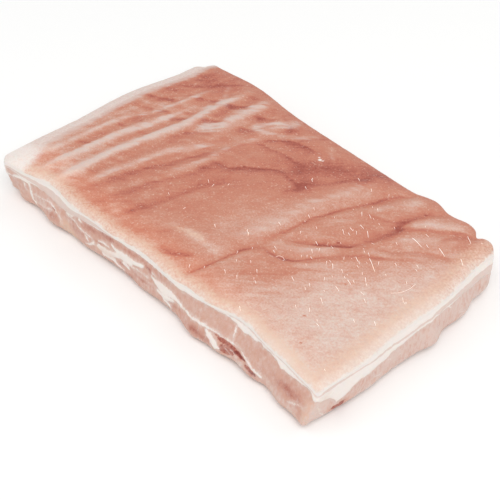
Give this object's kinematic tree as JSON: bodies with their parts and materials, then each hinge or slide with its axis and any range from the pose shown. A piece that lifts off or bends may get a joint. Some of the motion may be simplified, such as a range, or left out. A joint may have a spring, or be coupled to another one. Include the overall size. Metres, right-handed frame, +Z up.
{
  "type": "pork belly slab",
  "caption": "Raw skin-on pork belly slab lying skin side up, with wavy cut walls, a creased rind, rounded lower edge and a flat underside",
  "frame": {"origin": "bottom centre of the slab's bounding box, on the surface it rests on", "axes": "+X runs along the long side, +Y across the slab away from the long cut face, +Z up out of the rind"},
  "size_m": [0.3638, 0.2206, 0.041],
  "materials": {
    "meat": "moist raw pork: salmon-pink rind, white fat and pink-brown lean with a soft satin sheen"
  },
  "bodies": {
    "root": {"pork_belly_slab": "meat"}
  },
  "joints": []
}
